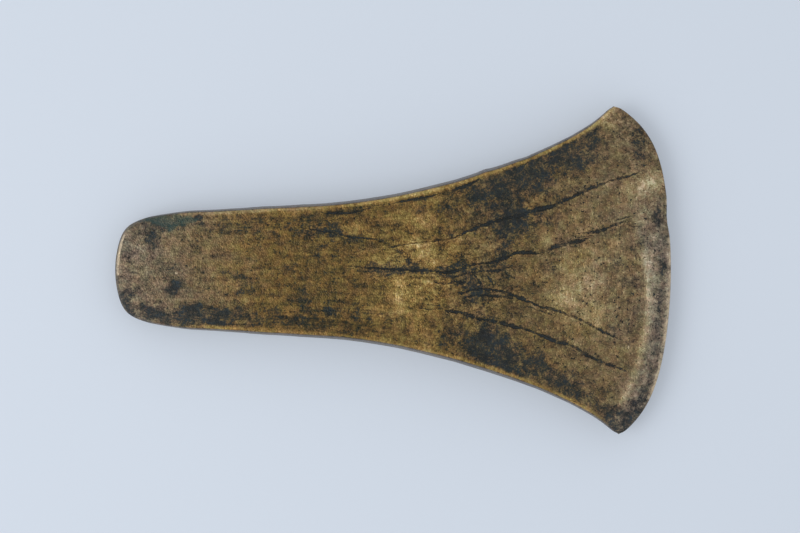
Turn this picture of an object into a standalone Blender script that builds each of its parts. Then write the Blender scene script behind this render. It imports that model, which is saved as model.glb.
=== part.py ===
"""A cast and hammered bronze flat axe head with low flanges, lying on one broad face.

+X runs from the butt to the cutting edge, +Y across the blade and +Z up. The origin is on the
surface that the axe head lies on, under the middle of its box. All lengths are in metres.

One grid makes the half above the middle plane, and its mirror image makes the half below. A
place on the grid is named by two shares: u runs from the butt end (0) to the cutting edge (1),
and v from the right side (-1) over the middle line (0) to the left side (1).
"""

import math
from collections import namedtuple

import bmesh
import bpy
import numpy as np

# Plan outline, measured from the butt end along the middle line
LENGTH = 0.1400
TIP_HALF = 0.0418
TIP_RADIUS = 0.0013
BODY_HALF = 0.0150
BODY_AT = 0.0200
BUTT_CORNER_AT = 0.0090
BUTT_CORNER_ROUNDING = 0.0009
BUTT_BOW = 0.0036
BUTT_CORNER_POWER = 9

# The two sides were hammered out by hand and differ a little
Side = namedtuple(
    "Side", "taper flare_from flare_power tip_lip lip_power tip_setback edge_bow edge_power"
)
LEFT = Side(0.056, 0.0510, 1.86, 0.0035, 12.5, 0.0145, 0.0053, 6.8)
RIGHT = Side(0.067, 0.0554, 1.68, 0.0035, 10.0, 0.0132, 0.0072, 7.1)

# A worn nick in the cutting edge, left of the middle
NICK_ACROSS = 0.0129
NICK_SPREAD = 0.0036
NICK_DEPTH = 0.0005

# Half thickness along the middle line: both broad faces rise to a low ridge and fall again
BUTT_HALF = 0.0015
RIDGE_HALF = 0.0046
RIDGE_AT = 0.0820
RIDGE_SOFTNESS = 0.0002
BLADE_ROUNDNESS = 1.4

# The hammered flange along each side, from the side inwards. Its crest is worn flat where the
# axe head is thickest, and it lies on that flat
CREST_HALF = 0.0050
FLANGE_HEIGHT = 0.00095
TIP_FLANGE_HEIGHT = 0.0003
FLANGE_FROM_BUTT = 0.0060
FLANGE_RISE = 0.0300
FLANGE_FALL = 0.0450
SIDE_BULGE = 0.0009
SIDE_ROUNDNESS = 1.7
CREST_WIDTH = 0.0013
FOOT_WIDTH = 0.0035

# The bevel ground along the cutting edge, broader left of the middle
BEVEL_HALF = 0.0019
BEVEL_WIDTH = 0.0047
BEVEL_SWELL = 0.0038
BEVEL_SWELL_ACROSS = 0.0200
BEVEL_SWELL_SPREAD = 0.0180
EDGE_HALF = 0.00022

# The rounded rims
EDGE_ROUND = 0.0003
BUTT_ROUND = 0.0013

# Grid spaces between the close lines beside the rims, and how soon the rows straighten
SPACES_ALONG = 56
SPACES_ACROSS = 22
END_FADE = 3
OUTLINE_SAMPLES = 260
MERGE_DISTANCE = 0.00001

BRONZE_COLOUR = (0.24, 0.16, 0.065, 1.0)
BRONZE_ROUGHNESS = 0.45
BRONZE_METALLIC = 0.8


def by_side(v, name):
    """A named value of the left or the right side, for each share across."""
    return np.where(np.asarray(v) >= 0, getattr(LEFT, name), getattr(RIGHT, name))


def smooth_step(share):
    share = np.clip(share, 0, 1)
    return share * share * (3 - 2 * share)


def soft_min(a, b, softness):
    """The lower of two heights, with the crease between them rounded off."""
    share = np.clip(0.5 + 0.5 * (b - a) / softness, 0, 1)
    return b + (a - b) * share - softness * share * (1 - share)


def side_half_width(reach, v):
    """Half width of the plan at a distance from the butt end, on the side that v is on."""
    tip_at = LENGTH - by_side(v, "tip_setback")
    flare_from = by_side(v, "flare_from")
    taper = by_side(v, "taper")
    tip_lip = by_side(v, "tip_lip")
    flare = TIP_HALF - tip_lip - BODY_HALF - taper * (tip_at - BODY_AT)
    flared = np.clip((reach - flare_from) / (tip_at - flare_from), 0, 1)
    near_butt = np.clip((BODY_AT - reach) / (BODY_AT - BUTT_CORNER_AT), 0, 1)
    straight = BODY_HALF + taper * (reach - BODY_AT) - BUTT_CORNER_ROUNDING * near_butt**2
    curved = flare * flared ** by_side(v, "flare_power")
    return straight + curved + tip_lip * flared ** by_side(v, "lip_power")


def butt_reach(v):
    """How far the rounded butt end lies behind its foremost point."""
    v = abs(v)
    return BUTT_BOW * v**2 + (BUTT_CORNER_AT - BUTT_BOW) * v**BUTT_CORNER_POWER


def edge_reach(v):
    """How far the cutting edge lies from the butt end."""
    bow = by_side(v, "edge_bow")
    corner = by_side(v, "tip_setback") - bow
    nick = NICK_DEPTH * np.exp(-(((v * TIP_HALF - NICK_ACROSS) / NICK_SPREAD) ** 2))
    return LENGTH - bow * v**2 - corner * abs(v) ** by_side(v, "edge_power") - nick


def reach_along(u, v):
    """Distance from the butt end along x: the rows follow the two ends and straighten between."""
    behind_tip = LENGTH - edge_reach(v)
    return LENGTH * u + butt_reach(v) * (1 - u) ** END_FADE - behind_tip * u**END_FADE


def plan(u, v):
    """The place in plan of shares u and v: x from the butt end and y from the middle line."""
    u, v = np.broadcast_arrays(np.asarray(u, float), np.asarray(v, float))
    beside = reach_along(u, np.where(v >= 0, 1.0, -1.0))
    return reach_along(u, v), v * side_half_width(beside, v)


def distance_to_line(x, y, line_x, line_y):
    """Distance in plan from each point to a chain of straight pieces."""
    nearest = np.full(np.shape(x), np.inf)
    for ax, ay, bx, by in zip(line_x[:-1], line_y[:-1], line_x[1:], line_y[1:]):
        run_x, run_y = bx - ax, by - ay
        share = ((x - ax) * run_x + (y - ay) * run_y) / (run_x**2 + run_y**2)
        share = np.clip(share, 0, 1)
        nearest = np.minimum(nearest, np.hypot(x - ax - share * run_x, y - ay - share * run_y))
    return nearest


def distance_to_side(x, y, v):
    shares = np.linspace(0, 1, OUTLINE_SAMPLES)
    return distance_to_line(x, y, *plan(shares, v))


def distance_to_end(x, y, u):
    shares = np.linspace(-1, 1, OUTLINE_SAMPLES)
    return distance_to_line(x, y, *plan(u, shares))


def blade_half_height(to_edge):
    """Half thickness of the blade, which falls from the ridge to the bevel in a low arch."""
    fallen = 1 - (to_edge - BEVEL_WIDTH) / (LENGTH - RIDGE_AT - BEVEL_WIDTH)
    share = 1 - np.clip(fallen, 0, 1) ** BLADE_ROUNDNESS
    return BEVEL_HALF + (RIDGE_HALF - BEVEL_HALF) * share


def face_half_height(x, to_edge):
    """Half thickness between the flanges: the haft seat behind the ridge, the blade ahead."""
    seat = BUTT_HALF + (RIDGE_HALF - BUTT_HALF) * x / RIDGE_AT
    return soft_min(seat, blade_half_height(to_edge), RIDGE_SOFTNESS)


def crest_half_height(x, to_edge):
    """Half thickness at the crest of a flange."""
    rise = smooth_step((x - FLANGE_FROM_BUTT) / FLANGE_RISE)
    fall = smooth_step(to_edge / FLANGE_FALL)
    flange = TIP_FLANGE_HEIGHT + (FLANGE_HEIGHT - TIP_FLANGE_HEIGHT) * fall
    return soft_min(face_half_height(x, to_edge) + rise * flange, CREST_HALF, RIDGE_SOFTNESS)


def bevel_half_height(y, to_edge):
    """Half thickness of the ground bevel, carried on above its upper line."""
    swell = np.exp(-(((y - BEVEL_SWELL_ACROSS) / BEVEL_SWELL_SPREAD) ** 2))
    width = BEVEL_WIDTH + BEVEL_SWELL * swell
    return EDGE_HALF + (blade_half_height(width) - EDGE_HALF) * to_edge / width


def bulge_width(x, y, to_edge):
    """Width in plan of the rounded side wall, broad where the flange beside it is high."""
    crest = np.minimum(crest_half_height(x, to_edge), bevel_half_height(y, to_edge))
    return SIDE_BULGE * crest / CREST_HALF


def rim_share(gap, width, roundness):
    """Share of the full height that a rounded rim has at a distance from its outer line."""
    return 1 - (1 - np.clip(gap / width, 0, 1)) ** roundness


def half_height(x, y):
    """Half thickness at a place in plan, 0 on the outline."""
    to_side = np.minimum(distance_to_side(x, y, 1.0), distance_to_side(x, y, -1.0))
    to_edge = distance_to_end(x, y, 1.0)
    bulge = bulge_width(x, y, to_edge)
    inside = smooth_step((to_side - bulge - CREST_WIDTH) / FOOT_WIDTH)
    face = face_half_height(x, to_edge)
    flanged = face + (crest_half_height(x, to_edge) - face) * (1 - inside)
    cap = soft_min(flanged, bevel_half_height(y, to_edge), RIDGE_SOFTNESS)
    rims = (
        rim_share(to_side, bulge, SIDE_ROUNDNESS),
        rim_share(to_edge, EDGE_ROUND, 2),
        rim_share(distance_to_end(x, y, 0.0), BUTT_ROUND, 2),
    )
    return cap * np.minimum.reduce(rims)


def lines_along():
    """Shares u of the cross rows: close at the butt end and the cutting edge, even between."""
    butt = np.array([0, 0.3, 1.0, 2.2]) * BUTT_ROUND / LENGTH
    edge = np.array([BEVEL_WIDTH, 0.5 * BEVEL_WIDTH, 4 * EDGE_ROUND, EDGE_ROUND, 0]) / LENGTH
    middle = np.linspace(butt[-1], 1 - edge[0], SPACES_ALONG + 1)
    return np.concatenate([butt[:-1], middle, 1 - edge[1:]])


def lines_beside(u, v):
    """Shares across of one row's lines beside the side v: up its wall and over its flange."""
    x, y = plan(u, v)
    bulge = bulge_width(x, y, distance_to_end(x, y, 1.0))
    wall = bulge * np.array([0, 0.12, 0.45])
    crest = bulge + CREST_WIDTH * np.array([0.1, 0.9])
    foot = bulge + CREST_WIDTH + FOOT_WIDTH * np.array([0.3, 0.65, 1.0])
    offsets = np.concatenate([wall, crest, foot])
    inwards = v * np.linspace(1, 0.5, OUTLINE_SAMPLES)
    return np.interp(offsets, distance_to_side(*plan(u, inwards), v), inwards)


def lines_across(u):
    """Shares v of all the lines in one cross row, from the right side to the left."""
    right = lines_beside(u, -1.0)
    left = lines_beside(u, 1.0)[::-1]
    middle = np.linspace(right[-1], left[0], SPACES_ACROSS + 1)
    return np.concatenate([right[:-1], middle, left[1:]])


def rounded_tips(x, y):
    """Draws the two sharp corners of the blade in to small round tips."""
    for v in (1.0, -1.0):
        tip_x, tip_y = plan(1.0, v)
        apart = np.hypot(x - tip_x, y - tip_y)
        y = y - v * (math.sqrt(2) - 1) * TIP_RADIUS * np.exp(-((apart / TIP_RADIUS) ** 2))
    return x, y


def grid_points():
    """x, y and half thickness of every crossing of the grid, row by row from the butt."""
    rows = [plan(u, lines_across(u)) for u in lines_along()]
    x = np.array([row[0] for row in rows])
    y = np.array([row[1] for row in rows])
    height = half_height(x, y)
    height[[0, -1], :] = 0
    height[:, [0, -1]] = 0
    x, y = rounded_tips(x, y)
    x = x - (x.min() + x.max()) / 2
    y = y - (y.min() + y.max()) / 2
    return np.stack([x, y, height], axis=-1)


def upper_half():
    """The mesh of the half above the middle plane, whose rim lies in that plane."""
    points = grid_points()
    along, across = points.shape[0] - 1, points.shape[1] - 1
    shell = bmesh.new()
    bmesh.ops.create_grid(shell, x_segments=along, y_segments=across, size=1.0)
    for corner in shell.verts:
        i = round((corner.co.x + 1) / 2 * along)
        j = round((corner.co.y + 1) / 2 * across)
        corner.co = points[i, j]
    mesh = bpy.data.meshes.new("axe_head")
    shell.to_mesh(mesh)
    shell.free()
    return mesh


def bronze():
    material = bpy.data.materials.new("bronze")
    material.use_nodes = True
    shader = material.node_tree.nodes["Principled BSDF"]
    shader.inputs["Base Color"].default_value = BRONZE_COLOUR
    shader.inputs["Roughness"].default_value = BRONZE_ROUGHNESS
    shader.inputs["Metallic"].default_value = BRONZE_METALLIC
    return material


def axe_head():
    mesh = upper_half()
    mesh.materials.append(bronze())
    mesh.shade_smooth()
    mesh.set_sharp_from_angle(angle=math.radians(25))
    solid = bpy.data.objects.new("axe_head", mesh)
    solid.location.z = CREST_HALF
    mirror = solid.modifiers.new("lower_half", "MIRROR")
    mirror.use_axis = (False, False, True)
    mirror.merge_threshold = MERGE_DISTANCE
    bpy.context.scene.collection.objects.link(solid)


def main():
    for old in list(bpy.data.objects):
        bpy.data.objects.remove(old)
    axe_head()


main()
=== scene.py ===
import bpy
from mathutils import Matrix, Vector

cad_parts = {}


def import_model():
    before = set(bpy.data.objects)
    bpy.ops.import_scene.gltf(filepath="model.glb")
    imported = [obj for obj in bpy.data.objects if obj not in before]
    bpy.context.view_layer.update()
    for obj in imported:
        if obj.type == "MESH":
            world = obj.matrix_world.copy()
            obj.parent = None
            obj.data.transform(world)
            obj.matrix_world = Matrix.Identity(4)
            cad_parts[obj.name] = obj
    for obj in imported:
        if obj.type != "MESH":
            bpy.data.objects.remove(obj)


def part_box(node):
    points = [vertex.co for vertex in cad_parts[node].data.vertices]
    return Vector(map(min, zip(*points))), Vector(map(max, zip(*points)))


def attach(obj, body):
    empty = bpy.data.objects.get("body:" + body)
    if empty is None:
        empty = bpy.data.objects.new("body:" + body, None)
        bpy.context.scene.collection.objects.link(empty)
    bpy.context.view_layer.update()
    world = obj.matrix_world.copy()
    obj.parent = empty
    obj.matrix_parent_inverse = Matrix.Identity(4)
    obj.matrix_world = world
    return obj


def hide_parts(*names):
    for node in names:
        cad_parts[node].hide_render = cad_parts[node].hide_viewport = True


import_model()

"""Looks of the bronze axe head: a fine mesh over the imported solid, its patina, and the studio.

The mesh repeats the solid's own formulas on a closer grid and adds the relief that the solid
leaves out: hammer swells, creases, grooves and pits. The tables of creases and patches give
places in millimetres, along from the butt end and across from the middle line to the left (+Y).
Where nothing else is said, lengths are in metres.
"""

import math
from collections import namedtuple

import bpy
import numpy as np
from mathutils import Vector

MM = 0.001
SOLID = "axe_head"
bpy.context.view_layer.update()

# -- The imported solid's own sizes

LENGTH = 0.1400
TIP_HALF = 0.0418
TIP_RADIUS = 0.0013
BODY_HALF = 0.0150
BODY_AT = 0.0200
BUTT_CORNER_AT = 0.0090
BUTT_CORNER_ROUNDING = 0.0009
BUTT_BOW = 0.0036
BUTT_CORNER_POWER = 9

Side = namedtuple(
    "Side", "taper flare_from flare_power tip_lip lip_power tip_setback edge_bow edge_power"
)
LEFT = Side(0.056, 0.0510, 1.86, 0.0035, 12.5, 0.0145, 0.0053, 6.8)
RIGHT = Side(0.067, 0.0554, 1.68, 0.0035, 10.0, 0.0132, 0.0072, 7.1)

NICK_ACROSS = 0.0129
NICK_SPREAD = 0.0036
NICK_DEPTH = 0.0005

BUTT_HALF = 0.0015
RIDGE_HALF = 0.0046
RIDGE_AT = 0.0820
RIDGE_SOFTNESS = 0.0002
BLADE_ROUNDNESS = 1.4

CREST_HALF = 0.0050
FLANGE_HEIGHT = 0.00095
TIP_FLANGE_HEIGHT = 0.0003
FLANGE_FROM_BUTT = 0.0060
FLANGE_RISE = 0.0300
FLANGE_FALL = 0.0450
SIDE_BULGE = 0.0009
SIDE_ROUNDNESS = 1.7
CREST_WIDTH = 0.0013
FOOT_WIDTH = 0.0035

BEVEL_HALF = 0.0019
BEVEL_WIDTH = 0.0047
BEVEL_SWELL = 0.0038
BEVEL_SWELL_ACROSS = 0.0200
BEVEL_SWELL_SPREAD = 0.0180
EDGE_HALF = 0.00022
EDGE_ROUND = 0.0003
BUTT_ROUND = 0.0013
END_FADE = 3

# -- The fine grid

OUTLINE_SAMPLES = 400
SPACES_ALONG = 388
SPACES_ACROSS = 160
LOWER_STEP = 2
# Close rows at the butt end and the cutting edge, as multiples of each rim's rounding
BUTT_ROWS = (0, 0.05, 0.16, 0.35, 0.6, 1.0, 1.5, 2.2)
EDGE_ROWS = (4, 2.4, 1.3, 0.6, 0.2, 0)
# Close lines beside the sides, as shares of the wall's, the crest's and the foot's width
WALL_LINES = (0, 0.04, 0.13, 0.3, 0.55, 0.85)
CREST_LINES = (0.1, 0.4, 0.7, 1.0)
FOOT_LINES = (0.2, 0.4, 0.6, 0.8, 1.05)

# -- Noise

SLOPE_TABLE = (97, 101)
NOISE_ORIGIN = (40, 50)
NOISE_GAIN = 1.5
FINER_BLOTCHES = 0.6

# The seed of each broad face, and what each kind of noise adds to it
UPPER_SEED = 11
LOWER_SEED = 211
SEEDS = {
    "blotches": 7, "streaks": 9, "plain_tone": 37, "plain_dark": 38, "groove": 40,
    "groove_line": 41, "pits": 80, "dark": 300, "bright": 340, "green": 380, "grain": 420,
}

# -- Relief

# Swells left by the hammer: size across and height, both in millimetres
SWELLS = ((15.0, 0.11), (6.5, 0.045), (2.6, 0.016))
SWELLS_AT_SIDE = 0.35
SWELLS_FADE = 0.004
SIDE_WAVER = 0.00012
SIDE_WAVER_SIZE = 0.011
SIDE_WAVER_SEED = 5
# A high power keeps the waver to the grid's outermost lines
SIDE_WAVER_POWER = 12
# A small bump and a small hollow in the left side: place along, half length and height
LEFT_BUMPS = ((0.0930, 0.0016, 0.00028), (0.1035, 0.0016, -0.00020))
GROOVE_DEPTH = 0.00006
GROOVE_HALF = 0.00028
GROOVE_OFF = 0.0004
# Noise moves the groove about and breaks it up: swing and size
GROOVE_WANDER = (0.0003, 0.012)
GROOVE_BREAKS = (1.2, 0.007)
GROOVE_SHARE = 0.35
PIT_COUNT = 500
PIT_DEPTH = 0.00007
# Radii of pits in millimetres, how deep each one is as a share, and how many radii it reaches
PIT_RADII = (0.25, 0.75)
PIT_SHARES = (0.3, 1.0)
PIT_REACH = 3
# The raised bead over the bevel, and how far to the right of the middle line it rises
BEAD_HEIGHT = 0.00008
BEAD_HALF = 0.0009
BEAD_RISE = (0.002, 0.006)
# All relief fades out this close to the outline
CALM_RIM = 0.0012
# How far a crease is seen and how softly it stops, its least half width as a hollow, the half
# width of the darker belt around it, and the half widths from which hollow and belt are full
CREASE_REACH = 0.0012
CREASE_FADE = 0.0006
CREASE_LEAST_HALF = 0.00024
CREASE_BELT_HALF = 0.0013
CREASE_FULL_HOLLOW = 0.0002
CREASE_FULL_BELT = 0.0003

# Cracks and folds: depth, then along, across and half width at each point, in millimetres
Crease = namedtuple("Crease", "depth points")
CREASES = [Crease(*row) for row in (
    (0.2, (
        (69.7, 5.8, 0.13), (74.0, 6.6, 0.15), (79.3, 7.2, 0.13), (83.3, 7.6, 0.18),
        (85.6, 8.3, 0.2), (87.3, 9.0, 0.25), (88.9, 9.9, 0.4), (90.9, 10.6, 0.6),
        (92.9, 11.2, 0.45), (95.4, 12.2, 0.3), (98.2, 12.9, 0.35), (101.2, 13.5, 0.45),
        (104.5, 14.6, 0.55), (107.5, 15.4, 0.55), (110.0, 16.0, 0.45), (112.1, 16.9, 0.35),
        (115.2, 18.4, 0.33), (117.9, 19.8, 0.4), (120.1, 20.8, 0.5), (122.1, 21.5, 0.48),
        (123.7, 22.2, 0.28), (125.7, 22.7, 0.23), (127.9, 23.2, 0.23), (130.0, 23.8, 0.2),
        (131.7, 24.6, 0.13),
    )),
    (0.2, (
        (79.3, -0.2, 0.13), (81.8, -0.5, 0.23), (84.5, -0.6, 0.4), (86.4, 0.0, 0.4),
        (88.1, 0.8, 0.5), (89.6, 1.2, 0.43), (91.3, 1.6, 0.28), (93.2, 1.8, 0.2),
        (95.2, 2.0, 0.23), (96.9, 2.5, 0.43), (98.5, 3.2, 0.43), (100.0, 4.0, 0.38),
        (101.5, 4.4, 0.48), (103.2, 4.5, 0.48), (104.8, 4.3, 0.33), (106.4, 4.1, 0.2),
        (107.8, 4.4, 0.18), (108.7, 4.8, 0.25), (110.0, 5.6, 0.4), (111.1, 6.2, 0.58),
        (112.8, 6.6, 0.63), (114.6, 7.0, 0.6), (116.1, 7.2, 0.5), (117.4, 7.5, 0.3),
        (119.1, 8.0, 0.13),
    )),
    (0.14, (
        (116.6, 9.2, 0.13), (118.1, 9.4, 0.2), (119.4, 9.4, 0.33), (121.4, 9.6, 0.43),
        (122.9, 10.0, 0.33), (123.9, 10.5, 0.2), (124.8, 11.0, 0.25), (126.2, 11.5, 0.25),
        (127.4, 11.9, 0.2), (128.4, 12.4, 0.1),
    )),
    (0.08, (
        (57.9, 1.0, 0.08), (65.5, 0.5, 0.18), (70.5, 0.2, 0.3), (75.5, -0.2, 0.2),
        (77.8, -0.2, 0.15),
    )),
    (0.18, (
        (87.1, -5.8, 0.25), (88.9, -5.3, 0.4), (90.4, -4.9, 0.33), (92.4, -4.8, 0.2),
        (94.4, -4.9, 0.23), (96.4, -5.1, 0.28), (98.0, -5.5, 0.28), (99.2, -5.9, 0.3),
        (100.7, -6.5, 0.43), (102.2, -7.2, 0.5), (103.7, -7.7, 0.35), (104.8, -8.1, 0.2),
        (106.0, -8.7, 0.2), (107.2, -9.3, 0.28), (108.5, -9.5, 0.33), (109.8, -9.8, 0.43),
        (111.3, -10.3, 0.38), (112.8, -10.8, 0.25), (114.3, -11.3, 0.28), (115.8, -11.9, 0.3),
        (117.6, -12.6, 0.35), (119.6, -13.7, 0.25), (121.6, -14.8, 0.33), (123.1, -15.6, 0.33),
        (124.9, -16.5, 0.2), (126.4, -17.1, 0.13),
    )),
    (0.18, (
        (83.3, -10.3, 0.15), (84.1, -10.3, 0.28), (85.4, -10.4, 0.33), (86.9, -10.6, 0.23),
        (88.5, -11.1, 0.4), (89.9, -11.6, 0.43), (91.3, -12.1, 0.28), (93.2, -12.5, 0.23),
        (95.2, -12.9, 0.3), (96.7, -13.2, 0.4), (98.0, -13.5, 0.45), (99.5, -13.9, 0.48),
        (100.8, -14.3, 0.43), (102.5, -14.7, 0.3), (104.0, -15.1, 0.2), (105.3, -15.6, 0.23),
        (106.8, -16.3, 0.3), (108.3, -16.8, 0.4), (109.5, -17.3, 0.5), (111.3, -17.9, 0.53),
        (112.8, -18.3, 0.45), (114.3, -18.7, 0.38), (116.1, -19.6, 0.35), (117.9, -20.8, 0.38),
        (119.6, -21.8, 0.35), (121.4, -22.6, 0.3), (123.1, -23.3, 0.3), (124.9, -24.0, 0.28),
        (126.7, -24.7, 0.25), (128.4, -25.3, 0.13),
    )),
    (0.04, (
        (46.8, 10.6, 0.08), (53.6, 9.6, 0.15), (59.9, 8.2, 0.2), (63.2, 8.0, 0.16),
        (66.0, 7.7, 0.1),
    )),
    (0.08, (
        (53.1, 14.2, 0.15), (54.9, 14.3, 0.3), (57.4, 14.3, 0.33), (59.9, 14.5, 0.25),
        (61.9, 14.9, 0.18), (63.9, 15.5, 0.15),
    )),
    (0.08, (
        (70.7, 16.9, 0.1), (72.8, 17.3, 0.2), (74.8, 17.8, 0.28), (77.0, 18.2, 0.3),
        (79.3, 18.5, 0.18), (80.8, 18.9, 0.13),
    )),
    (0.08, ((85.9, 20.2, 0.2), (87.9, 20.9, 0.4), (89.9, 21.8, 0.33), (91.4, 22.6, 0.15))),
)]
SIDE_CREASES = [Crease(*row) for row in (
    (0.06, ((126.9, 12.7, 0.13), (128.2, 13.1, 0.2), (129.6, 13.4, 0.1))),
    (0.06, ((128.9, 11.1, 0.15), (130.2, 11.0, 0.23), (131.2, 10.9, 0.1))),
    (0.1, (
        (85.6, -1.7, 0.15), (87.3, -1.2, 0.23), (89.9, -0.6, 0.15), (92.4, -0.2, 0.18),
        (94.2, -0.2, 0.3), (95.9, -0.2, 0.45), (97.5, 0.3, 0.4), (99.0, 0.6, 0.18),
    )),
    (0.1, (
        (88.9, -6.7, 0.2), (90.6, -6.3, 0.15), (92.4, -6.3, 0.2), (93.9, -6.5, 0.33),
        (95.4, -6.6, 0.3), (97.2, -6.7, 0.18), (99.0, -7.0, 0.15), (100.5, -7.3, 0.13),
    )),
    (0.05, ((104.0, -9.2, 0.1), (107.0, -10.3, 0.13), (109.5, -11.1, 0.1))),
    (0.06, ((76.5, -8.3, 0.1), (79.3, -8.7, 0.13), (81.8, -9.0, 0.1))),
    (0.06, ((76.5, -9.5, 0.1), (78.8, -9.8, 0.13), (81.8, -9.8, 0.1))),
    (0.15, ((115.5, -33.0, 0.18), (116.2, -33.3, 0.3), (117.0, -33.7, 0.2))),
    (0.06, ((2.5, 2.2, 0.13), (3.5, 2.0, 0.2), (4.5, 1.8, 0.13))),
    (0.06, ((4.2, -0.6, 0.13), (5.2, -0.7, 0.2), (6.3, -1.0, 0.1))),
    (0.07, ((90.4, -1.1, 0.13), (91.2, -2.2, 0.2), (91.9, -3.5, 0.15))),
    (0.09, ((93.4, -1.2, 0.13), (94.4, -2.4, 0.35), (94.9, -3.5, 0.15))),
    (0.05, ((102.0, -8.5, 0.08), (102.1, -10.6, 0.1), (101.9, -12.6, 0.08))),
    (0.05, ((83.8, -3.5, 0.13), (85.9, -2.7, 0.2), (87.9, -3.2, 0.13))),
    (0.06, ((79.8, -2.7, 0.13), (81.3, -3.4, 0.25), (83.1, -3.5, 0.13))),
)]

# -- Patina

# Each patch: place, half length, half width, strength, turn in degrees from along to across
Patch = namedtuple("Patch", "along across half_long half_wide strength turn", defaults=[0])
DARK_PATCHES = [Patch(*row) for row in (
    # Under the left side, from the butt end to the tip
    (11.4, 11.8, 5.0, 2.0, 0.62), (10.0, 6.9, 2.0, 1.9, 0.8), (21.5, 12.4, 1.6, 1.4, 1.0),
    (31.4, 11.1, 8.5, 2.2, 0.35), (48.6, 10.8, 6.5, 2.6, 0.36), (55.4, 9.4, 5.5, 2.2, 0.34, -8),
    (83.1, 13.0, 2.6, 8.0, 0.3), (97.0, 21.0, 9.0, 4.6, 0.55, 18),
    (93.6, 19.8, 3.6, 3.0, 0.45, 15), (107.0, 25.4, 8.5, 4.2, 0.65, 24),
    (117.3, 31.2, 7.5, 3.8, 0.76, 28), (130.8, 33.0, 3.4, 5.6, 0.4),
    (101.2, 12.2, 5.2, 5.2, 0.7, 10), (97.3, 5.2, 2.2, 4.6, 0.55),
    (109.0, 12.9, 3.6, 2.4, 0.35, 10), (112.0, 20.0, 6.0, 3.0, 0.3, 20),
    (118.8, 27.4, 4.6, 3.0, 0.48, 20), (132.6, 25.8, 2.4, 3.6, 0.3), (92.2, 9.8, 2.4, 2.0, 0.3),
    (77.0, 15.2, 3.2, 1.6, 0.6, 8),
    # The middle
    (14.9, -4.5, 2.2, 1.5, 0.95), (14.6, 2.0, 2.8, 1.2, 0.45, 20),
    (28.4, -0.6, 3.6, 1.0, 0.55, -10), (31.2, -4.8, 3.0, 2.8, 0.48), (44.0, 1.0, 2.6, 1.3, 0.4),
    (52.1, 4.4, 2.8, 2.2, 0.3), (72.0, 0.0, 9.5, 1.5, 0.8), (71.6, 2.4, 2.8, 2.8, 0.48),
    (86.0, -0.4, 4.0, 2.4, 0.5), (89.6, -4.6, 2.6, 4.0, 0.5), (91.8, -9.8, 2.8, 2.8, 0.36),
    (101.3, -2.8, 2.4, 2.0, 0.25), (117.8, -7.2, 2.3, 1.4, 0.5, -25),
    (109.2, 0.2, 2.6, 2.2, 0.45, -20), (127.8, -1.0, 7.4, 2.8, 0.48, -75),
    (131.5, 6.4, 3.2, 1.8, 0.4), (124.1, -15.8, 1.3, 0.7, 0.8, -25),
    (130.1, -18.4, 1.9, 0.8, 0.6, -10), (137.0, -7.8, 1.1, 1.1, 0.8), (138.0, 1.5, 0.9, 2.4, 0.5),
    (137.2, -12.4, 0.9, 1.9, 0.28),
    # Over the right side
    (2.8, -8.4, 2.2, 3.8, 1.05, -28), (12.0, -11.6, 7.5, 2.2, 0.95), (26.0, -11.2, 8.0, 2.2, 0.95),
    (20.4, -11.2, 2.0, 1.4, 0.2), (42.0, -12.4, 8.5, 1.8, 0.5), (47.3, -7.5, 2.2, 4.0, 0.45),
    (53.4, -10.6, 2.6, 2.1, 0.45), (63.7, -11.6, 5.8, 3.0, 0.3), (61.0, -8.0, 2.2, 2.2, 0.15),
    (84.0, -17.0, 7.0, 3.2, 0.4, -12), (94.4, -18.6, 5.6, 4.6, 0.78, -12),
    (104.5, -24.2, 9.0, 4.0, 0.7, -22), (116.6, -30.6, 9.0, 3.4, 0.55, -28),
    (125.8, -37.6, 3.6, 3.0, 0.8, -30), (127.2, -40.2, 3.2, 2.0, 0.9, -20),
    (130.2, -35.4, 3.2, 2.6, 0.55, -30), (96.5, -24.4, 2.6, 1.3, 0.5, -20),
    (111.5, -19.6, 2.4, 1.6, 0.25, -25), (133.6, -32.6, 2.2, 5.0, 0.55, -30),
    (132.0, 30.0, 2.0, 2.6, 0.3), (137.0, 14.4, 1.3, 3.0, 0.42),
)]
# Those from about 64 to 78 mm along, before the ridge, are partly polished metal and partly
# painted highlight
BRIGHT_PATCHES = [Patch(*row) for row in (
    (121.0, -1.0, 14.0, 15.0, 0.14), (117.0, -3.0, 6.4, 5.6, 0.44, -20),
    (111.6, -7.2, 3.0, 2.2, 0.5, -10), (125.0, 13.0, 7.0, 6.0, 0.12, 20),
    (109.4, 7.8, 1.7, 2.2, 0.5), (92.5, 5.4, 3.4, 2.0, 0.2), (133.8, 21.2, 3.6, 3.0, 1.1),
    (124.0, 38.8, 2.6, 2.6, 0.5), (117.5, 20.5, 3.6, 2.6, 0.22, 20),
    (126.8, -17.4, 4.4, 7.0, 0.15, -10), (76.0, 1.0, 7.0, 12.0, 0.2), (72.0, -5.6, 1.9, 3.2, 0.7),
    (76.8, 4.8, 2.8, 1.8, 0.55), (77.2, 12.6, 1.8, 1.6, 0.45), (64.2, 2.4, 2.8, 1.8, 0.45),
    (60.4, 10.6, 3.0, 1.6, 0.35), (66.0, -9.0, 5.0, 3.0, 0.14), (33.0, 1.0, 9.0, 5.0, 0.12),
    (87.0, 7.6, 2.6, 3.0, 0.26), (87.4, -10.0, 3.0, 2.6, 0.28),
    (117.2, -11.2, 4.8, 3.4, 0.34, -25), (6.2, 5.0, 2.6, 2.4, 0.3),
)]
GREEN_PATCHES = [Patch(*row) for row in (
    (12.9, 12.6, 5.8, 1.7, 1.0), (18.0, 12.4, 1.7, 1.2, 0.8),
)]
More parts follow.
